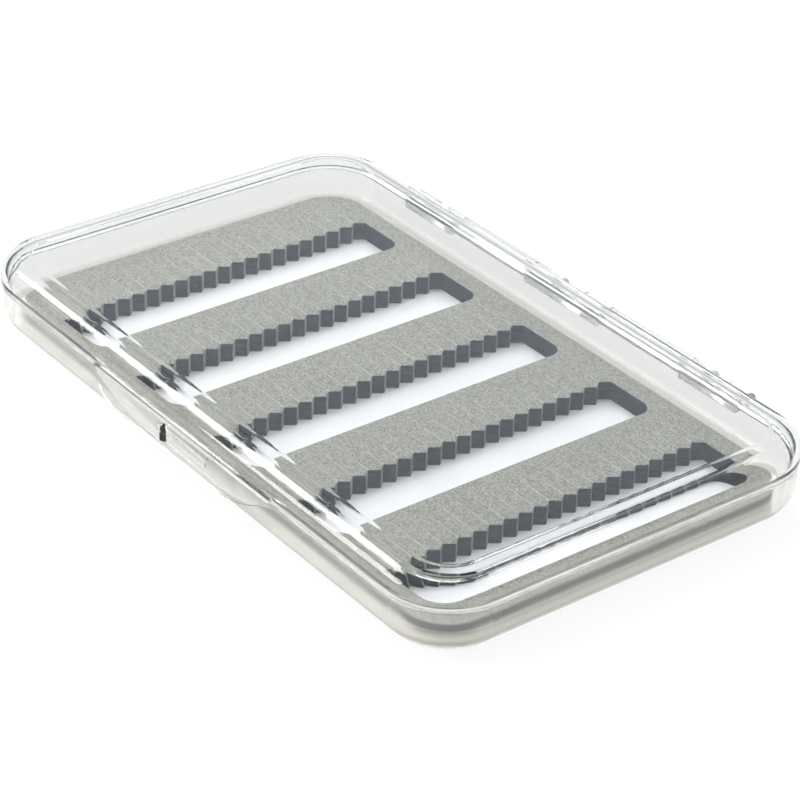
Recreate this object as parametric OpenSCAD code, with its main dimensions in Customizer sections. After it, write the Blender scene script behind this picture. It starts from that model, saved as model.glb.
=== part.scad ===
// Slim fly box: a frosted tray with slit foam for hooks, under a clear hinged lid.
// X runs along the box, Y towards the hinge, Z up. The origin is the middle of
// the tray's flat underside.

/* [Case] */
// Length of the case, along X
case_l = 150; // [120:1:190]
// Width from the front wall to the back wall, along Y
case_w = 91; // [76:1:120]
// Height of the closed case
case_h = 16.3; // [15.5:0.1:20]
// Radius of the four corners, seen from above
corner_r = 13; // [11:0.5:18]
// Height of the parting line between the tray and the lid
part_z = 10.6; // [10:0.1:11.4]
// Gap left between the tray's rim and the lid's rim
part_gap = 0.2; // [0.1:0.05:0.4]
// Radius that eases the outer edge of both rims
rim_r = 0.5; // [0.3:0.1:0.7]

/* [Tray] */
// How far the tray's wall stands inside the lid's outline
tray_step = 0.3; // [0.1:0.1:0.6]
// Thickness of the tray's wall
tray_wall = 1.8; // [1.4:0.1:2.2]
// Thickness of the tray's floor
tray_floor = 1.2; // [1:0.1:1.8]
// Radius of the rounding under the tray
tray_round_r = 6.5; // [5.5:0.1:7]
// Radius of the fillet where the wall meets the floor inside
tray_fillet_r = 3.5; // [3.2:0.1:4.2]

/* [Lid] */
// Thickness of the lid's wall at its rim
lid_wall = 1.6; // [1.4:0.1:2.2]
// Thickness of the lid's flat top
lid_top = 2; // [1.4:0.1:2.4]
// Radius of the lid's outer top edge
lid_edge_r = 3.7; // [2.8:0.1:4.2]
// Radius of the cove inside the lid
lid_cove_r = 2.4; // [1.5:0.1:3]
// Distance from the lid's outline to the raised panel on its top
panel_inset = 6.3; // [5.6:0.1:7]
// How far the raised panel stands above the top's edge
panel_rise = 0.11; // [0.05:0.01:0.2]
// Width of the soft slope round the raised panel
panel_slope = 0.9; // [0.6:0.1:1.3]

/* [Foam] */
// Gap between the foam's lower edge and the tray's fillet
foam_clear = 0.7; // [0.3:0.1:1]
// Gap between the white sheet's edge and the foot of the tray's fillet
sheet_clear = 0.1; // [0.05:0.05:0.5]
// Thickness of the foam
foam_t = 4; // [3:0.1:5]
// Thickness of the white sheet under the foam
sheet_t = 0.3; // [0.2:0.05:0.5]
// Width of each hook channel, from the tooth roots to the straight side
channel_w = 13.6; // [10:0.1:16]
// Spacing of the hook channels
channel_pitch = 26.6; // [22:0.1:32]
// Foam left in front of and behind each channel
channel_border = 4.4; // [3:0.1:8]
// Width of the first strip, from the foam's edge to the tooth roots
first_strip = 14.4; // [10:0.1:20]
// Least width of the last strip
last_strip = 4; // [3:0.5:8]
// Radius of the channels' corners on the straight side
channel_r = 2.8; // [1.5:0.1:4]
// Foam kept between a channel's back end and the first tooth's root
tooth_margin = 2.1; // [0.5:0.1:3]
// Spacing of the teeth along a strip
tooth_pitch = 3.45; // [2.8:0.05:4.4]
// Height of a tooth
tooth_h = 1.33; // [0.8:0.01:1.8]
// Part of the pitch that a tooth's long flank takes
tooth_lean = 0.57; // [0.4:0.01:0.7]

/* [Hinge] */
// Distance from the back wall to the hinge axis
hinge_out = 2; // [1.8:0.1:2.6]
// Radius of the hinge knuckles
knuckle_r = 2.2; // [2:0.1:2.4]
// Radius of the hinge pin
pin_r = 0.8; // [0.6:0.05:1]
// Running clearance round the pin
pin_clear = 0.05; // [0.03:0.01:0.09]
// Length of the whole hinge
hinge_l = 102; // [90:1:106]
// Length of the tray's middle knuckle
middle_knuckle_l = 22.6; // [18:0.2:26]
// Length of each of the lid's two knuckles
lid_knuckle_l = 23.2; // [18:0.2:25]
// Gap between the ends of neighbouring knuckles
knuckle_gap = 0.4; // [0.3:0.05:0.6]
// Gap between a knuckle and the wall of the other half
knuckle_clear = 0.4; // [0.3:0.05:0.6]
// Length of the pin window in the middle knuckle
window_l = 6.8; // [4:0.2:8]
// Length of the pin window in each end knuckle
end_window_l = 4.4; // [3:0.2:6]
// How far the pin stops short of the hinge's ends
pin_inset = 1.2; // [0.8:0.1:2]

/* [Latch] */
// Distance of the latch tab's left edge from the middle
tab_left = 28.5; // [24:0.5:30]
// Distance of the latch tab's right tip from the middle
tab_right = 30; // [26:0.5:31]
// Height of the tab's lower edge above the table
tab_low_z = 5.3; // [4.8:0.1:5.8]
// Height of the tab's upper ledge above the parting line
tab_ledge = 1.8; // [1.4:0.1:2.2]
// How far the tab stands out from the lid's front wall
tab_proud = 1.2; // [1:0.1:1.6]
// Thickness of the tab
tab_t = 1.2; // [1.1:0.1:1.3]
// Radius of the tab's lower left corner
tab_corner_r = 6.5; // [3:0.1:7]
// Radius of the curve in which the tab's lower edge sweeps up to its right tip
tab_sweep_r = 26.4; // [24:0.1:30]
// How far the tab's root stops short of its left and right edges
tab_root_in = 1; // [0.5:0.1:3]
// Half length of the finger scoop in the tray's front
scoop_half_l = 31.5; // [28:0.5:36]
// Depth of the scoop at the tray's rim
scoop_depth = 1; // [0.8:0.1:1.2]
// How far the scoop reaches below the rim
scoop_drop = 6; // [4:0.2:7]
// How far the lid's lip swells out over the scoop
lip_proud = 0.9; // [0.4:0.1:1.2]
// Length of the snap bead and of the ridge above it
snap_l = 16; // [10:1:20]
// Distance of the ridge's upper face below the tray's rim
snap_down = 0.9; // [0.6:0.1:1.2]
// Height of the bead and of the ridge
snap_t = 0.8; // [0.6:0.1:0.9]
// Gap between the bead's upper face and the ridge
snap_play = 0.3; // [0.2:0.05:0.5]
// How far the ridge's face lies behind the tab
snap_room = 0.6; // [0.5:0.1:0.8]
// Clearance between the bead's nose and the ridge's face as they pass
snap_clear = 0.1; // [0.08:0.01:0.15]
// Distance of the nail recess's steep left end from the middle
nail_start = 6; // [0:0.5:9]
// Length of the nail recess
nail_l = 25; // [12:0.5:25]
// Depth of the nail recess at its steep end
nail_depth = 0.7; // [0.4:0.1:0.7]
// Length of the slope at the steep end
nail_steep = 1.2; // [0.3:0.1:1.5]
// Radius of the recess's upper left corner
nail_corner_r = 3.4; // [1:0.1:3.5]
// Tab left below the recess
nail_low = 1.2; // [0.8:0.1:1.5]
// Tab left above the recess
nail_high = 0.8; // [0.5:0.1:1]

/* [Hidden] */
$fn = 64;
// Overlap that makes two solids one
eps = 0.01;
// How far a cutting solid runs past the face it cuts
past = 1;

tray_l = case_l - 2 * tray_step;
tray_w = case_w - 2 * tray_step;
tray_r = corner_r - tray_step;
tray_top = part_z - part_gap / 2;
lid_low = part_z + part_gap / 2;
lid_ceiling = case_h - lid_top;
shoulder_z = case_h - panel_rise;
front_y = -case_w / 2;
back_y = case_w / 2;

sheet_inset = tray_step + tray_wall + tray_fillet_r + sheet_clear;
sheet_l = case_l - 2 * sheet_inset;
sheet_w = case_w - 2 * sheet_inset;
sheet_r = corner_r - sheet_inset;

fillet_rise = tray_fillet_r - sheet_t;
fillet_reach = tray_fillet_r - sqrt(tray_fillet_r * tray_fillet_r - fillet_rise * fillet_rise);
foam_edge = tray_step + tray_wall + fillet_reach + foam_clear;
// the foam is cut to a whole tenth of a millimetre
foam_inset = ceil(foam_edge * 10) / 10;
foam_l = case_l - 2 * foam_inset;
foam_w = case_w - 2 * foam_inset;
foam_r = corner_r - foam_inset;
foam_z = tray_floor + sheet_t;
channel_l = foam_w - 2 * channel_border;
channel_n = floor((foam_l - first_strip - channel_w - last_strip) / channel_pitch) + 1;
tooth_n = floor((channel_l - tooth_margin) / tooth_pitch);
tooth_start = channel_l / 2 - tooth_margin;

hinge_y = back_y + hinge_out;
hinge_z = part_z;
bore_r = pin_r + pin_clear;
lid_knuckle_x = middle_knuckle_l / 2 + knuckle_gap + lid_knuckle_l / 2;
end_knuckle_in = lid_knuckle_x + lid_knuckle_l / 2 + knuckle_gap;
end_knuckle_l = hinge_l / 2 - end_knuckle_in;
end_knuckle_x = end_knuckle_in + end_knuckle_l / 2;

tab_top_z = part_z + tab_ledge;
tab_h = tab_top_z - tab_low_z;
// where the sweep leaves the tab's lower edge, and where it passes the lid's rim
sweep_x = tab_right - sqrt(tab_h * (2 * tab_sweep_r - tab_h));
sweep_rise = lid_low - tab_low_z;
sweep_rim_x = sweep_x + sqrt(sweep_rise * (2 * tab_sweep_r - sweep_rise));
tab_face_y = front_y - tab_proud;
tab_back_y = tab_face_y + tab_t;
ridge_face_y = tab_back_y + snap_room;
ridge_top_z = tray_top - snap_down;
ridge_low_z = ridge_top_z - snap_t;
bead_top_z = ridge_low_z - snap_play;

// ---- shapes that repeat ----

// A body with round corners: its section, drawn from a corner's centre outwards,
// goes round all four sides, and a block from z0 to z1 fills the middle.
module round_body(l, w, r, z0, z1) {
    in_l = l - 2 * r;
    in_w = w - 2 * r;
    for (k = [0:3]) {
        sx = (k == 0 || k == 3) ? 1 : -1;
        sy = (k < 2) ? 1 : -1;
        translate([sx * in_l / 2, sy * in_w / 2, 0])
            rotate([0, 0, 90 * k])
                rotate_extrude(angle = 90)
                    children();
    }
    for (k = [0:1])
        rotate([0, 0, 180 * k]) {
            translate([-in_l / 2, in_w / 2, 0])
                rotate([90, 0, 90])
                    linear_extrude(in_l)
                        children();
            translate([in_l / 2, in_w / 2, 0])
                rotate([90, 0, 0])
                    linear_extrude(in_w)
                        children();
        }
    translate([-in_l / 2, -in_w / 2, z0])
        cube([in_l, in_w, z1 - z0]);
}

// A flat plate with round corners
module plate_2d(l, w, r) {
    square([l - 2 * r, w], center = true);
    square([l, w - 2 * r], center = true);
    for (sx = [-1, 1], sy = [-1, 1])
        translate([sx * (l / 2 - r), sy * (w / 2 - r)])
            circle(r);
}

// A bar along X with a round section, centred on the hinge axis
module hinge_bar(x, l, r) {
    translate([x - l / 2, hinge_y, hinge_z])
        rotate([0, 90, 0])
            cylinder(h = l, r = r);
}

// ---- tray ----

module tray_section_outside() {
    r = tray_r;
    intersection() {
        union() {
            translate([0, tray_round_r])
                square([r, tray_top - rim_r - tray_round_r]);
            square([r - tray_round_r, tray_round_r]);
            translate([r - tray_round_r, tray_round_r])
                circle(tray_round_r);
            translate([0, tray_top - rim_r - eps])
                square([r - rim_r, rim_r + eps]);
            translate([r - rim_r, tray_top - rim_r])
                circle(rim_r);
        }
        square([r + past, tray_top]);
    }
}

module tray_section_inside() {
    r = tray_r - tray_wall;
    intersection() {
        union() {
            translate([0, tray_floor])
                square([r - tray_fillet_r, part_z]);
            translate([0, tray_floor + tray_fillet_r])
                square([r, part_z]);
            translate([r - tray_fillet_r, tray_floor + tray_fillet_r])
                circle(tray_fillet_r);
        }
        square([r + past, part_z + past]);
    }
}

module tray_shell() {
    difference() {
        round_body(tray_l, tray_w, tray_r, 0, tray_top)
            tray_section_outside();
        round_body(tray_l, tray_w, tray_r, tray_floor, part_z + past)
            tray_section_inside();
    }
}

// The ball whose skin hollows the finger scoop out of the front wall
module scoop_cut() {
    face = front_y + tray_step;
    h = (scoop_half_l * scoop_half_l - scoop_drop * scoop_drop) / (2 * scoop_drop);
    d = (scoop_half_l * scoop_half_l - scoop_depth * scoop_depth) / (2 * scoop_depth);
    r = sqrt(d * d + h * h + scoop_half_l * scoop_half_l);
    translate([0, face - d, tray_top + h])
        sphere(r, $fn = 200);
}

// The tray's knuckles and the webs that join them to the back wall
module tray_knuckles() {
    for (k = [[0, middle_knuckle_l], [-end_knuckle_x, end_knuckle_l], [end_knuckle_x, end_knuckle_l]]) {
        hinge_bar(k[0], k[1], knuckle_r);
        translate([k[0] - k[1] / 2, back_y - tray_step - tray_wall / 2, hinge_z - knuckle_r])
            cube([k[1], hinge_out + tray_step + tray_wall / 2, knuckle_r - part_gap / 2]);
    }
}

module window_cut(x, l) {
    translate([x - l / 2, hinge_y - knuckle_r - past, hinge_z])
        cube([l, 2 * (knuckle_r + past), knuckle_r + past]);
}

module base_tray() {
    color("#E9EBE6")
    difference() {
        union() {
            difference() {
                tray_shell();
                for (s = [-1, 1])
                    hinge_bar(s * lid_knuckle_x, lid_knuckle_l + 2 * knuckle_gap, knuckle_r + knuckle_clear);
                scoop_cut();
            }
            tray_knuckles();
            snap_ridge();
        }
        hinge_bar(0, hinge_l + 2 * past, bore_r);
        window_cut(0, window_l);
        for (s = [-1, 1])
            window_cut(s * end_knuckle_x, end_window_l);
    }
}

// The ridge in the scoop that holds the lid's bead down
module snap_ridge() {
    translate([-snap_l / 2, ridge_face_y, ridge_low_z])
        cube([snap_l, front_y + tray_step + tray_wall - eps - ridge_face_y, snap_t]);
}

// ---- foam and the sheet under it ----

module backing_sheet() {
    color("#F7F8FC")
    translate([0, 0, tray_floor])
        linear_extrude(sheet_t)
            plate_2d(sheet_l, sheet_w, sheet_r);
}

// One hook channel: roots of the teeth at x = 0, straight side at x = channel_w.
// A slanting end lies next to the last tooth.
module channel_2d() {
    difference() {
        polygon(concat(
            [[0, -channel_l / 2], [channel_w, -channel_l / 2], [channel_w, channel_l / 2]],
            [[tooth_h, channel_l / 2], [0, tooth_start]],
            [for (k = [1:tooth_n], tip = [1, 0])
                [tip * tooth_h, tooth_start - (k - tip * tooth_lean) * tooth_pitch]]));
        // round corners on the straight side
        for (s = [-1, 1])
            difference() {
                translate([channel_w - channel_r, s * (channel_l / 2 - channel_r / 2) - channel_r / 2])
                    square([channel_r + past, channel_r]);
                translate([channel_w - channel_r, s * (channel_l / 2 - channel_r)])
                    circle(channel_r);
            }
    }
}

module foam_insert() {
    color("#9B9B90")
    translate([0, 0, foam_z])
        linear_extrude(foam_t)
            difference() {
                plate_2d(foam_l, foam_w, foam_r);
                for (k = [0:channel_n - 1])
                    translate([-foam_l / 2 + first_strip + k * channel_pitch, 0])
                        channel_2d();
            }
}

// ---- hinge pin ----

module hinge_pin() {
    color("#8C8F92")
    hinge_bar(0, hinge_l - 2 * pin_inset, pin_r);
}

// ---- lid ----

// Ease from 0 to 1 with no slope at either end
function ease(t) = t * t * (3 - 2 * t);

module lid_section_outside() {
    r = corner_r;
    panel_r = r - panel_inset;
    steps = 8;
    polygon(concat(
        [[0, lid_low], [0, case_h]],
        [for (k = [0:steps]) [panel_r + panel_slope * k / steps, case_h - panel_rise * ease(k / steps)]],
        [[r - lid_edge_r, shoulder_z], [r - lid_edge_r, lid_low]]));
    intersection() {
        union() {
            translate([r - lid_edge_r, lid_low + rim_r])
                square([lid_edge_r, shoulder_z - lid_edge_r - lid_low - rim_r]);
            translate([r - lid_edge_r - eps, lid_low])
                square([lid_edge_r - rim_r + eps, rim_r + eps]);
            translate([r - rim_r, lid_low + rim_r])
                circle(rim_r);
            translate([r - lid_edge_r, shoulder_z - lid_edge_r])
                circle(lid_edge_r);
        }
        translate([r - lid_edge_r - eps, lid_low])
            square([lid_edge_r + past, case_h - lid_low]);
    }
}

module lid_section_inside() {
    r = corner_r - lid_wall;
    low = lid_low - past;
    intersection() {
        union() {
            translate([0, low])
                square([r - lid_cove_r, lid_ceiling - low]);
            translate([r - lid_cove_r, lid_ceiling - lid_cove_r])
                circle(lid_cove_r);
        }
        translate([0, low])
            square([r + past, case_h]);
    }
}

module lid_shell() {
    difference() {
        round_body(case_l, case_w, corner_r, lid_low, case_h)
            lid_section_outside();
        round_body(case_l, case_w, corner_r, lid_low - past, lid_ceiling)
            lid_section_inside();
    }
}

// The tab's outline seen from the front, x to the right and z up
module tab_2d() {
    r = tab_corner_r;
    intersection() {
        union() {
            translate([-tab_left + r, tab_low_z])
                square([tab_left - r + sweep_x, tab_h]);
            translate([-tab_left, tab_low_z + r])
                square([tab_left + sweep_x, tab_h]);
            translate([-tab_left + r, tab_low_z + r])
                circle(r);
            translate([sweep_x, tab_low_z + tab_sweep_r])
                circle(tab_sweep_r, $fn = 200);
        }
        translate([-tab_left, tab_low_z])
            square([tab_left + tab_right + past, tab_h]);
    }
}

// The lens-shaped lip that swells out over the scoop, seen from above
module lip_body() {
    r = (scoop_half_l * scoop_half_l + lip_proud * lip_proud) / (2 * lip_proud);
    intersection() {
        translate([0, front_y - lip_proud + r, lid_low])
            cylinder(h = tab_top_z - lid_low, r = r, $fn = 200);
        translate([-scoop_half_l - past, front_y - lip_proud - past, lid_low])
            cube([2 * (scoop_half_l + past), lip_proud + past + lid_wall / 2, tab_top_z - lid_low]);
    }
}

// The nail recess: steep at its round left end, running out to the right
module nail_cut() {
    z0 = tab_low_z + nail_low;
    h = tab_top_z - nail_high - z0;
    r = min(nail_corner_r, h - eps);
    intersection() {
        translate([-nail_start, 0, z0])
            linear_extrude(h)
                polygon([
                    [0, tab_face_y - past],
                    [0, tab_face_y],
                    [nail_steep, tab_face_y + nail_depth],
                    [nail_l, tab_face_y],
                    [nail_l, tab_face_y - past]]);
        translate([-nail_start, tab_back_y, z0])
            rotate([90, 0, 0])
                linear_extrude(tab_t + 2 * past)
                    union() {
                        translate([r, 0])
                            square([nail_l, h]);
                        square([nail_l, h - r]);
                        translate([r, h - r])
                            circle(r);
                    }
    }
}

module latch_tab() {
    difference() {
        translate([0, tab_back_y, 0])
            rotate([90, 0, 0])
                linear_extrude(tab_t)
                    tab_2d();
        nail_cut();
    }
    // solid root behind the tab, where it joins the lid's wall
    root_y0 = tab_back_y - eps;
    root_y1 = front_y + lid_wall / 2;
    translate([-tab_left + tab_root_in, root_y0, lid_low])
        cube([tab_left + sweep_rim_x - 2 * tab_root_in, root_y1 - root_y0, tab_top_z - lid_low]);
}

// The bead on the tab's back, which goes under the tray's ridge
module snap_bead() {
    translate([-snap_l / 2, tab_back_y - tab_t / 4, bead_top_z - snap_t])
        cube([snap_l, tab_t / 4 + snap_room - snap_clear, snap_t]);
}

module lid_knuckles() {
    for (s = [-1, 1]) {
        hinge_bar(s * lid_knuckle_x, lid_knuckle_l, knuckle_r);
        translate([s * lid_knuckle_x - lid_knuckle_l / 2, back_y - lid_wall / 2, lid_low])
            cube([lid_knuckle_l, hinge_out + lid_wall / 2, knuckle_r - part_gap / 2]);
    }
}

module lid() {
    color("#DDE6EA", 0.35)
    difference() {
        union() {
            difference() {
                lid_shell();
                hinge_bar(0, middle_knuckle_l + 2 * knuckle_gap, knuckle_r + knuckle_clear);
                for (s = [-1, 1])
                    hinge_bar(s * end_knuckle_x, end_knuckle_l + 2 * knuckle_gap, knuckle_r + knuckle_clear);
            }
            lid_knuckles();
            lip_body();
            latch_tab();
            snap_bead();
        }
        hinge_bar(0, hinge_l + 2 * past, bore_r);
    }
}

base_tray();
backing_sheet();
foam_insert();
hinge_pin();
lid();
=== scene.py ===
"""Slim fly box: a clear hinged lid over a frosted tray with a toothed foam insert.

The scene is in metres, in the part's own frame. Sizes of the box and its foam are in
millimetres, and MM turns them into metres.
"""

import math
import random

import bpy
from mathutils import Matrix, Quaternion, Vector
from mathutils.geometry import delaunay_2d_cdt


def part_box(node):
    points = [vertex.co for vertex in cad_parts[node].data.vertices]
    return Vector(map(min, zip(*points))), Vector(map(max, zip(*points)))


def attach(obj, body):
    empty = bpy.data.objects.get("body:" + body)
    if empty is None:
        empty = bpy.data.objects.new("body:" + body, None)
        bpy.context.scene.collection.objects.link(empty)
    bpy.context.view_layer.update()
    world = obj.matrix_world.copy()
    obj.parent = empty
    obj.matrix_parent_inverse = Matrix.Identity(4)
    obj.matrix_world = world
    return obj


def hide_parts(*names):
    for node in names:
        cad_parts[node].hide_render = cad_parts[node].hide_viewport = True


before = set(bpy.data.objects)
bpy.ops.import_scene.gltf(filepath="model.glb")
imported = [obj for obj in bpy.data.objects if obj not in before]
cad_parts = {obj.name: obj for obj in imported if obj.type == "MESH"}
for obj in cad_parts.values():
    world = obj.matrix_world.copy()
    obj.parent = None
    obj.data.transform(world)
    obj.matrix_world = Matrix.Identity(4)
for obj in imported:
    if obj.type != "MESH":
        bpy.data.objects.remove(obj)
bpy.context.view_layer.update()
MM = 0.001
CASE_SIZE = (150, 91)
CORNER_R = 13


def add_object(name, data):
    obj = bpy.data.objects.new(name, data)
    bpy.context.scene.collection.objects.link(obj)
    return obj


# ---- camera: the photograph's view ----

CAMERA_PLACE = Vector((361.5, -277.7, 277.1)) * MM
CAMERA_AIM = Vector((9.6, -2.9, 8.0)) * MM
CAMERA_ROLL = math.radians(1.8)
CAMERA_LENS, SENSOR_W = 124.3, 36
CLIP_START, CLIP_END = 0.01, 20


def make_camera():
    data = bpy.data.cameras.new("camera")
    data.lens = CAMERA_LENS
    data.sensor_width = SENSOR_W
    data.clip_start, data.clip_end = CLIP_START, CLIP_END
    camera = add_object("camera", data)
    turn = (CAMERA_AIM - CAMERA_PLACE).to_track_quat("-Z", "Y")
    camera.rotation_mode = "QUATERNION"
    camera.rotation_quaternion = turn @ Quaternion((0, 0, 1), CAMERA_ROLL)
    camera.location = CAMERA_PLACE
    bpy.context.scene.camera = camera


# ---- nodes ----

def new_material(name):
    material = bpy.data.materials.new(name)
    material.use_nodes = True
    nodes = material.node_tree.nodes
    return material, nodes, material.node_tree.links, nodes["Principled BSDF"]


def noise(nodes, links, coords, scale, detail, rough=0.5):
    node = nodes.new("ShaderNodeTexNoise")
    node.inputs["Scale"].default_value = scale
    node.inputs["Detail"].default_value = detail
    node.inputs["Roughness"].default_value = rough
    links.new(coords.outputs["Object"], node.inputs["Vector"])
    return node


def spread(nodes, links, source, low, high, start=0.3, end=0.7):
    """A value from start..end becomes low..high. Most noise lies between the defaults."""
    node = nodes.new("ShaderNodeMapRange")
    node.inputs["From Min"].default_value = start
    node.inputs["From Max"].default_value = end
    node.inputs["To Min"].default_value = low
    node.inputs["To Max"].default_value = high
    links.new(source, node.inputs["Value"])
    return node.outputs["Result"]


def tint(nodes, links, source, first, last, start=0.3, end=0.7):
    """A value from start..end becomes a colour from first to last."""
    ramp = nodes.new("ShaderNodeValToRGB")
    low, high = ramp.color_ramp.elements
    low.position, low.color = start, (*first, 1)
    high.position, high.color = end, (*last, 1)
    links.new(source, ramp.inputs["Fac"])
    return ramp.outputs["Color"]


def bump(nodes, links, height, shader, strength, distance):
    node = nodes.new("ShaderNodeBump")
    node.inputs["Strength"].default_value = strength
    node.inputs["Distance"].default_value = distance
    links.new(height, node.inputs["Height"])
    links.new(node.outputs["Normal"], shader.inputs["Normal"])


def vector_step(nodes, links, operation, source, value=None, out="Vector"):
    node = nodes.new("ShaderNodeVectorMath")
    node.operation = operation
    links.new(source, node.inputs[0])
    if value is not None:
        node.inputs[1].default_value = value
    return node.outputs[out]


def math_step(nodes, links, operation, first, second):
    """The second value is a number or another node's output."""
    node = nodes.new("ShaderNodeMath")
    node.operation = operation
    links.new(first, node.inputs[0])
    if isinstance(second, float):
        node.inputs[1].default_value = second
    else:
        links.new(second, node.inputs[1])
    return node.outputs[0]


def mix_colour(nodes, links, factor, a, b):
    """Colour a where the factor is 0, b where it is 1. Each is a colour or a node's output."""
    node = nodes.new("ShaderNodeMix")
    node.data_type = "RGBA"
    links.new(factor, node.inputs["Factor"])
    for name, source in (("A", a), ("B", b)):
        if isinstance(source, tuple):
            node.inputs[name].default_value = (*source, 1)
        else:
            links.new(source, node.inputs[name])
    return node.outputs["Result"]


def dress(obj, *materials):
    obj.data.materials.clear()
    for material in materials:
        obj.data.materials.append(material)


# ---- materials of the box ----

PLASTIC_IOR = 1.49
# painted shade on the tray's lower edge, a deeper beige tint: how far in from its outline
# the tint begins and is full, and the heights where it starts to fade and is gone
EDGE_IN_NONE, EDGE_IN_FULL = 1.9, 1.6
EDGE_Z_FULL, EDGE_Z_NONE = 3.6, 4.7


def clear_plastic():
    material, nodes, links, shader = new_material("clear_plastic")
    coords = nodes.new("ShaderNodeTexCoord")
    shader.inputs["Base Color"].default_value = (0.985, 0.992, 0.99, 1)
    shader.inputs["Transmission Weight"].default_value = 1.0
    shader.inputs["IOR"].default_value = PLASTIC_IOR
    haze = noise(nodes, links, coords, 400, 3)
    rough = spread(nodes, links, haze.outputs["Fac"], 0.0, 0.03)
    links.new(rough, shader.inputs["Roughness"])
    return material


def painted_shade_lower_edge(nodes, links, coords):
    """Where the painted shade goes: 1 on the outside of the tray's rounded lower edge, 0
    everywhere else.
    """
    straight = [(side / 2 - CORNER_R) * MM for side in CASE_SIZE]
    flat = vector_step(nodes, links, "MULTIPLY", coords.outputs["Object"], (1, 1, 0))
    flat = vector_step(nodes, links, "ABSOLUTE", flat)
    flat = vector_step(nodes, links, "SUBTRACT", flat, (*straight, 0))
    flat = vector_step(nodes, links, "MAXIMUM", flat, (0, 0, 0))
    reach = vector_step(nodes, links, "LENGTH", flat, out="Value")
    outside = spread(nodes, links, reach, 0, 1,
                     (CORNER_R - EDGE_IN_NONE) * MM, (CORNER_R - EDGE_IN_FULL) * MM)
    parts = nodes.new("ShaderNodeSeparateXYZ")
    links.new(coords.outputs["Object"], parts.inputs["Vector"])
    low = spread(nodes, links, parts.outputs["Z"], 1, 0, EDGE_Z_FULL * MM, EDGE_Z_NONE * MM)
    return math_step(nodes, links, "MULTIPLY", outside, low)


def frosted_plastic():
    """Translucent tray, with painted shade on its lower edge: a deeper tone that stands in for
    light going a long way through it.
    """
    material, nodes, links, shader = new_material("frosted_plastic")
    coords = nodes.new("ShaderNodeTexCoord")
    # painted shade: the lower edge turns dark beige
    tone = tint(nodes, links, painted_shade_lower_edge(nodes, links, coords),
                (1.0, 0.995, 0.975), (0.54, 0.51, 0.42), 0, 1)
    links.new(tone, shader.inputs["Base Color"])
    shader.inputs["Transmission Weight"].default_value = 0.93
    shader.inputs["IOR"].default_value = PLASTIC_IOR
    shader.inputs["Specular IOR Level"].default_value = 0.15
    grain = noise(nodes, links, coords, 120, 3)
    rough = spread(nodes, links, grain.outputs["Fac"], 0.13, 0.19)
    links.new(rough, shader.inputs["Roughness"])
    return material


def steel():
    material, nodes, links, shader = new_material("steel")
    coords = nodes.new("ShaderNodeTexCoord")
    shader.inputs["Metallic"].default_value = 1.0
    lines = noise(nodes, links, coords, 900, 4, 0.6)
    tone = tint(nodes, links, lines.outputs["Fac"], (0.36, 0.37, 0.38), (0.55, 0.56, 0.58))
    links.new(tone, shader.inputs["Base Color"])
    rough = spread(nodes, links, lines.outputs["Fac"], 0.2, 0.36)
    links.new(rough, shader.inputs["Roughness"])
    return material


def white_sheet():
    material, nodes, links, shader = new_material("white_sheet")
    coords = nodes.new("ShaderNodeTexCoord")
    fibre = noise(nodes, links, coords, 1500, 4, 0.6)
    tone = tint(nodes, links, fibre.outputs["Fac"], (0.93, 0.935, 0.96), (0.965, 0.97, 0.985))
    links.new(tone, shader.inputs["Base Color"])
    shader.inputs["Roughness"].default_value = 0.55
    bump(nodes, links, fibre.outputs["Fac"], shader, 0.15, 0.02 * MM)
    return material


# ---- materials of the foam ----

# how much the knife's level lines are drawn out sideways on a cut side
STRIPE_STRETCH = 0.12
# the foam's outer side goes from painted light to painted shade between these heights
SIDE_Z_PAINTED_LIGHT, SIDE_Z_PAINTED_SHADE = 2.9, 4.2


def foam_material(name, dark, light, level=0.2, striped=False):
    """Closed-cell foam. A striped side shows the fine level lines that the knife leaves."""
    material, nodes, links, shader = new_material(name)
    coords = nodes.new("ShaderNodeTexCoord")
    cells = noise(nodes, links, coords, 3000, 3, 0.7)
    if striped:
        flat = nodes.new("ShaderNodeMapping")
        flat.inputs["Scale"].default_value = (STRIPE_STRETCH, STRIPE_STRETCH, 1)
        links.new(coords.outputs["Object"], flat.inputs["Vector"])
        links.new(flat.outputs["Vector"], cells.inputs["Vector"])
    tone = tint(nodes, links, cells.outputs["Fac"], dark, light, 0.35, 0.65)
    links.new(tone, shader.inputs["Base Color"])
    shader.inputs["Roughness"].default_value = 0.92
    shader.inputs["Specular IOR Level"].default_value = level
    bump(nodes, links, cells.outputs["Fac"], shader, 0.6, 0.1 * MM)
    return material


def foam_edge_material():
    """The foam's outer side: painted shade under its top, with painted light from the white sheet
    on its foot.
    """
    material, nodes, links, shader = new_material("foam_edge")
    coords = nodes.new("ShaderNodeTexCoord")
    parts = nodes.new("ShaderNodeSeparateXYZ")
    links.new(coords.outputs["Object"], parts.inputs["Vector"])
    height = spread(nodes, links, parts.outputs["Z"], 0.0, 1.0,
                    SIDE_Z_PAINTED_LIGHT * MM, SIDE_Z_PAINTED_SHADE * MM)
    # painted light at the foot, painted shade towards the top
    tone = tint(nodes, links, height, (0.85, 0.85, 0.78), (0.02, 0.022, 0.02), 0.1, 0.9)
    links.new(tone, shader.inputs["Base Color"])
    shader.inputs["Roughness"].default_value = 0.9
    cells = noise(nodes, links, coords, 1900, 4, 0.7)
    bump(nodes, links, cells.outputs["Fac"], shader, 0.5, 0.1 * MM)
    return material


# ---- foam: a die-cut sheet with toothed channels and a slit behind every tooth ----

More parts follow.
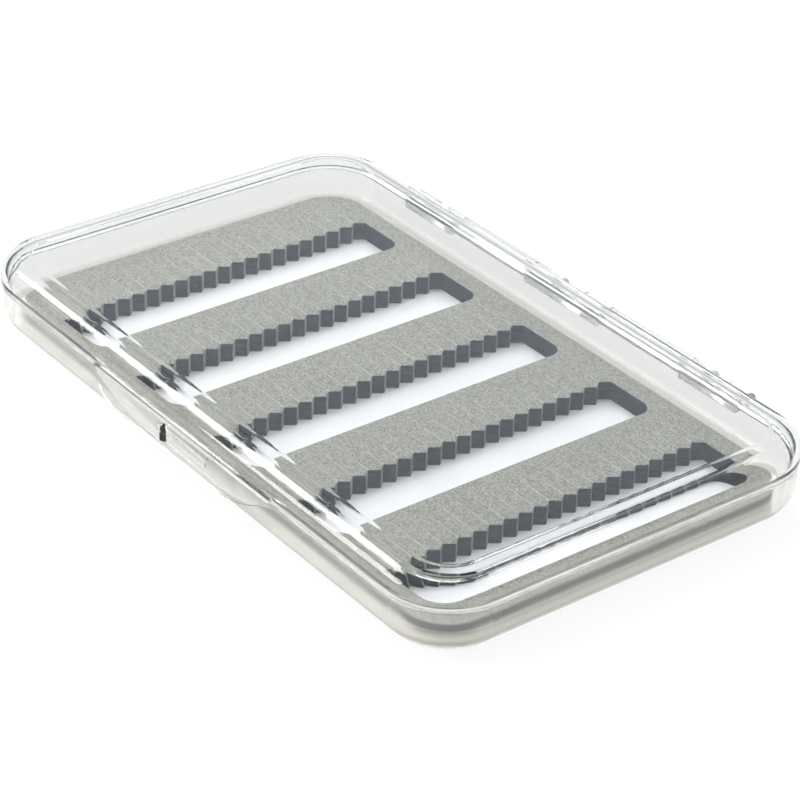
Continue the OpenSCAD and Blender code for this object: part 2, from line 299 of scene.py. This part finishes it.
# length, width and corner radius
FOAM_SIZE = (140.2, 81.2, 8.1)
CHANNEL_N, CHANNEL_PITCH, FIRST_STRIP = 5, 26.6, 14.4
CHANNEL_W, CHANNEL_BORDER, CHANNEL_R = 13.6, 4.4, 2.8
TOOTH_PITCH, TOOTH_H, TOOTH_LEAN, TOOTH_MARGIN = 3.45, 1.33, 0.57, 2.1
# steps of the arcs at the foam's corners and at the channels' corners
FOAM_STEPS, CHANNEL_STEPS = 20, 10
# two points nearer than this are one when the flat faces are filled
SAME_POINT = 1e-6
# the eased edge round the top, and the angle above which an edge is left sharp
EASE = 0.12
SHARP_ANGLE = math.radians(30)
# a slit's mouth, from the tooth's root to either side, and its depth there
MOUTH, SLIT_DEEP = 0.1, 0.7
# a slit's length, how far its end drifts to a side, and how far it wanders on the way
SLIT_REACH = (9.2, 11.4)
SLIT_DRIFT, SLIT_WANDER = 0.12, 0.03
# stations along a slit: share of its length, half width, depth
SLIT_STATIONS = ((0.08, 0.075, 0.2), (0.35, 0.065, 0.14), (0.7, 0.05, 0.12))
SLIT_SEED = 7
# a face that goes deeper than this below the top is a slit's side
SLIT_FACE_DEEP = 0.1
# a channel's wall that faces this far towards +X and +Y is a tooth's short flank, which gets
# painted light, as if lit from the +Y side
PAINTED_LIGHT_FACING = 0.3
# the faces' materials, in the order in which the foam is dressed
TOP, PAINTED_SHADE_CUT, PAINTED_LIGHT_CUT, PAINTED_SHADING_EDGE, PAINTED_HIGHLIGHT_SLIT = range(5)


def arc(x, y, r, start, stop, count):
    turns = [math.radians(start + (stop - start) * k / count) for k in range(count + 1)]
    return [(x + r * math.cos(t), y + r * math.sin(t)) for t in turns]


def foam_outline():
    length, width, r = FOAM_SIZE
    x, y = length / 2 - r, width / 2 - r
    corners = ((x, y), (-x, y), (-x, -y), (x, -y))
    return [point for k, (cx, cy) in enumerate(corners)
            for point in arc(cx, cy, r, 90 * k, 90 * (k + 1), FOAM_STEPS)]


def towards(a, b, step):
    gap = math.dist(a, b)
    return (a[0] + (b[0] - a[0]) * step / gap, a[1] + (b[1] - a[1]) * step / gap)


def channel_outline(x0):
    """Points with the foam on the left, and the numbers of the points where slits start."""
    half = FOAM_SIZE[1] / 2 - CHANNEL_BORDER
    side, r = x0 + CHANNEL_W, CHANNEL_R
    first_root = half - TOOTH_MARGIN
    count = int((2 * half - TOOTH_MARGIN) // TOOTH_PITCH)
    points = [(x0, -half)]
    points += arc(side - r, -half + r, r, 270, 360, CHANNEL_STEPS)
    points += arc(side - r, half - r, r, 0, 90, CHANNEL_STEPS)
    points += [(x0 + TOOTH_H, half)]
    roots = [(x0, first_root - k * TOOTH_PITCH) for k in range(count + 1)]
    tips = [(x0 + TOOTH_H, y + TOOTH_LEAN * TOOTH_PITCH) for _, y in roots[1:]]
    tips.append((x0, -half))
    slits = []
    for root, tip in zip(roots, tips):
        points += [towards(root, points[-1], MOUTH), root, towards(root, tip, MOUTH)]
        slits.append(len(points) - 2)
        if tip is not tips[-1]:
            points.append(tip)
    points.reverse()
    return points, [len(points) - 1 - k for k in slits]


def inset(points, step):
    """The loop moved to its left, which is into the foam."""
    moved = []
    for k, (x, y) in enumerate(points):
        ax, ay = points[k - 1]
        bx, by = points[(k + 1) % len(points)]
        before = Vector((x - ax, y - ay)).normalized()
        after = Vector((bx - x, by - y)).normalized()
        left = Vector((-before.y - after.y, before.x + after.x))
        left *= step / (1 + before.dot(after))
        moved.append((x + left.x, y + left.y))
    return moved


def inside(point, loop):
    x, y = point
    found = False
    for (ax, ay), (bx, by) in zip(loop, loop[1:] + loop[:1]):
        if (ay > y) != (by > y) and x < ax + (bx - ax) * (y - ay) / (by - ay):
            found = not found
    return found


def ring(first, count):
    """The edges of a closed loop of count points."""
    return [(first + k, first + (k + 1) % count) for k in range(count)]


def fill(points, edges, outer, holes):
    """Triangles over the flat foam, without its channels."""
    points = [Vector(p) for p in points]
    made, _, faces, sources, _, _ = delaunay_2d_cdt(points, edges, [], 0, SAME_POINT)
    kept = []
    for face in faces:
        middle = sum((made[k] for k in face), Vector((0, 0))) / len(face)
        if inside(middle, outer) and not any(inside(middle, hole) for hole in holes):
            kept.append([sources[k][0] for k in face])
    return kept


def slit_line(root, rng):
    """A slit's stations, each its centre, half width and depth, and the point where it ends."""
    x, y = root
    length = rng.uniform(*SLIT_REACH)
    drift = rng.uniform(-SLIT_DRIFT, SLIT_DRIFT)
    stations = [
        ((x - length * t, y + drift * t + rng.uniform(-SLIT_WANDER, SLIT_WANDER)), wide, deep)
        for t, wide, deep in SLIT_STATIONS]
    return stations, (x - length, y + drift)


def top_with_slits(loops, slit_roots, z_top, rng):
    """The top's points, their heights, the edges among them, and each loop's first point."""
    flat, heights, edges, starts = [], [], [], []
    for points, roots in zip(loops, slit_roots):
        first = len(flat)
        starts.append(first)
        flat += points
        heights += [z_top - (SLIT_DEEP if k in roots else 0) for k in range(len(points))]
        edges += ring(first, len(points))
        for k in roots:
            # one side of the slit, its bottom line and its other side, as far as they go
            ends = (first + k - 1, first + k, first + k + 1)
            stations, tip = slit_line(points[k], rng)
            for (x, y), wide, deep in stations:
                if flat[ends[0]][1] > flat[ends[2]][1]:
                    wide = -wide
                here = len(flat)
                flat += [(x, y - wide), (x, y), (x, y + wide)]
                heights += [z_top, z_top - deep, z_top]
                after = (here, here + 1, here + 2)
                edges += zip(ends, after)
                ends = after
            edges += [(end, len(flat)) for end in ends]
            flat.append(tip)
            heights.append(z_top)
    return flat, heights, edges, starts


def foam_mesh(loops, slit_roots, z_low, z_top):
    """The foam's points and faces, and each face's material. The first loop is its outline."""
    rng = random.Random(SLIT_SEED)
    inner = [inset(points, EASE) for points in loops]
    flat, heights, edges, starts = top_with_slits(inner, slit_roots, z_top, rng)
    verts = [(x, y, z) for (x, y), z in zip(flat, heights)]
    faces = fill(flat, edges, inner[0], inner[1:])
    kinds = [TOP if min(heights[k] for k in face) > z_top - SLIT_FACE_DEEP else PAINTED_HIGHLIGHT_SLIT
             for face in faces]

    under, under_edges, feet = [], [], []
    for number, (points, roots) in enumerate(zip(loops, slit_roots)):
        count = len(points)
        rim = len(verts)
        verts += [(x, y, z_top - (SLIT_DEEP if k in roots else EASE))
                  for k, (x, y) in enumerate(points)]
        foot = len(verts)
        verts += [(x, y, z_low) for x, y in points]
        under_edges += ring(len(under), count)
        under += points
        feet += range(foot, foot + count)
        for k, after in ring(0, count):
            along = Vector(points[after]) - Vector(points[k])
            out = Vector((along.y, -along.x)).normalized()
            painted_lit = out.x > PAINTED_LIGHT_FACING and out.y > PAINTED_LIGHT_FACING
            faces.append([rim + k, rim + after, starts[number] + after, starts[number] + k])
            kinds.append(TOP)
            faces.append([foot + k, foot + after, rim + after, rim + k])
            kinds.append(PAINTED_SHADING_EDGE if number == 0 else PAINTED_LIGHT_CUT if painted_lit else PAINTED_SHADE_CUT)
    for face in fill(under, under_edges, loops[0], loops[1:]):
        faces.append([feet[k] for k in reversed(face)])
        kinds.append(PAINTED_SHADE_CUT)
    return verts, faces, kinds


def make_foam():
    low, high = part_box("foam_insert")
    loops, slit_roots = [foam_outline()], [[]]
    for k in range(CHANNEL_N):
        points, roots = channel_outline(-FOAM_SIZE[0] / 2 + FIRST_STRIP + k * CHANNEL_PITCH)
        loops.append(points)
        slit_roots.append(roots)
    verts, faces, kinds = foam_mesh(loops, slit_roots, low.z / MM, high.z / MM)

    mesh = bpy.data.meshes.new("foam_sheet")
    mesh.from_pydata([Vector(v) * MM for v in verts], [], faces)
    mesh.shade_smooth()
    mesh.set_sharp_from_angle(angle=SHARP_ANGLE)
    foam = add_object("foam_sheet", mesh)
    dress(foam,
          foam_material("foam_top", (0.15, 0.148, 0.13), (0.46, 0.452, 0.405)),
          # the channels' cut sides: near-black painted shade, where little light reaches inside
          # the channels
          foam_material("foam_cut_painted_shade", (0.006, 0.009, 0.012), (0.058, 0.066, 0.074), 0.1,
                        striped=True),
          # the teeth's short flanks: painted light, as if lit from the +Y side
          foam_material("foam_cut_painted_light", (0.20, 0.21, 0.20), (0.30, 0.31, 0.29)),
          foam_edge_material(),
          # the slits' sides: painted highlight, far lighter than the foam's top
          foam_material("foam_slit_painted_highlight", (0.62, 0.62, 0.57), (0.82, 0.82, 0.76)))
    # a mesh forgets its faces' materials when it is dressed, so these come after
    mesh.polygons.foreach_set("material_index", kinds)
    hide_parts("foam_insert")
    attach(foam, "base")


# ---- studio ----

FLOOR_HALF = 3.0
# just under the tray, so that the two don't lie in one plane
FLOOR_Z = -0.05 * MM
# how much of the floor's plain white the camera sees. The rest is lit, and keeps the shadow.
FLOOR_WHITE = 0.88

WHITE = (1, 1, 1)
WORLD_LIGHT = (0.95, 0.95, 0.95)
WORLD_GLOSS = (0.38, 0.5, 0.6)
# the dim walls round the studio, and the heights between which they turn white
WALLS = (0.12, 0.12, 0.11)
WALLS_LOW, WALLS_HIGH = 0.14, 0.3

# name, place, size, power, and whether it shows in reflections
LAMPS = (
    ("key", (-0.16, 0.12, 0.45), 0.18, 1.6, False),
    ("side", (-0.45, -0.7, 0.3), 0.4, 7, False),
    # its reflection is the white streak along the lid's front edge
    ("front_box", (-0.54, -0.16, 0.58), 0.32, 2.6, True),
    # small soft boxes, which draw the bright lines along the lid's edges
    ("edge_light_1", (0.15, 0.53, 0.86), 0.11, 0.5, True),
    ("edge_light_2", (0.65, 0.53, 0.63), 0.11, 0.5, True),
    ("edge_light_3", (-0.38, 0.53, 0.75), 0.12, 0.5, True))

# light goes round inside the clear walls many times
BOUNCES = 20


def make_floor():
    signs = ((-1, -1), (1, -1), (1, 1), (-1, 1))
    corners = [(x * FLOOR_HALF, y * FLOOR_HALF, 0) for x, y in signs]
    mesh = bpy.data.meshes.new("floor")
    mesh.from_pydata(corners, [], [(0, 1, 2, 3)])
    floor = add_object("floor", mesh)
    material, nodes, links, shader = new_material("floor")
    shader.inputs["Base Color"].default_value = (0.92, 0.92, 0.92, 1)
    shader.inputs["Roughness"].default_value = 0.7
    glow = nodes.new("ShaderNodeEmission")
    path = nodes.new("ShaderNodeLightPath")
    white = math_step(nodes, links, "MULTIPLY", path.outputs["Is Camera Ray"], FLOOR_WHITE)
    for kind in ("Is Transmission Ray", "Is Glossy Ray"):
        white = math_step(nodes, links, "MAXIMUM", white, path.outputs[kind])
    mix = nodes.new("ShaderNodeMixShader")
    links.new(white, mix.inputs["Fac"])
    links.new(shader.outputs[0], mix.inputs[1])
    links.new(glow.outputs[0], mix.inputs[2])
    links.new(mix.outputs[0], nodes["Material Output"].inputs["Surface"])
    floor.data.materials.append(material)
    floor.location.z = FLOOR_Z


def make_lamp(name, place, size, power, shines):
    """A round soft box that looks at the middle of the tray's underside."""
    data = bpy.data.lights.new(name, "AREA")
    data.shape = "DISK"
    data.size = size
    data.energy = power
    lamp = add_object(name, data)
    lamp.location = Vector(place)
    lamp.visible_glossy = shines
    lamp.rotation_mode = "QUATERNION"
    lamp.rotation_quaternion = (-Vector(place)).to_track_quat("-Z", "Y")


def make_world():
    """Even light, greyer in reflections, dim low walls through the clear plastic, white behind."""
    world = bpy.data.worlds.new("studio")
    bpy.context.scene.world = world
    world.use_nodes = True
    nodes, links = world.node_tree.nodes, world.node_tree.links
    path = nodes.new("ShaderNodeLightPath")
    coords = nodes.new("ShaderNodeTexCoord")
    parts = nodes.new("ShaderNodeSeparateXYZ")
    links.new(coords.outputs["Generated"], parts.inputs["Vector"])
    # the walls draw the dark lines along the clear lid's edges
    walls = tint(nodes, links, parts.outputs["Z"], WALLS, WHITE, WALLS_LOW, WALLS_HIGH)
    shown = mix_colour(nodes, links, path.outputs["Is Glossy Ray"], WORLD_LIGHT, WORLD_GLOSS)
    shown = mix_colour(nodes, links, path.outputs["Is Transmission Ray"], shown, walls)
    shown = mix_colour(nodes, links, path.outputs["Is Camera Ray"], shown, WHITE)
    links.new(shown, nodes["Background"].inputs["Color"])


make_camera()
dress(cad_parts["lid"], clear_plastic())
dress(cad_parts["base_tray"], frosted_plastic())
dress(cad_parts["hinge_pin"], steel())
dress(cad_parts["backing_sheet"], white_sheet())
make_foam()
make_floor()
for lamp in LAMPS:
    make_lamp(*lamp)
make_world()
scene = bpy.context.scene
scene.view_settings.view_transform = "Standard"
scene.cycles.max_bounces = BOUNCES
scene.cycles.glossy_bounces = BOUNCES
scene.cycles.transmission_bounces = BOUNCES
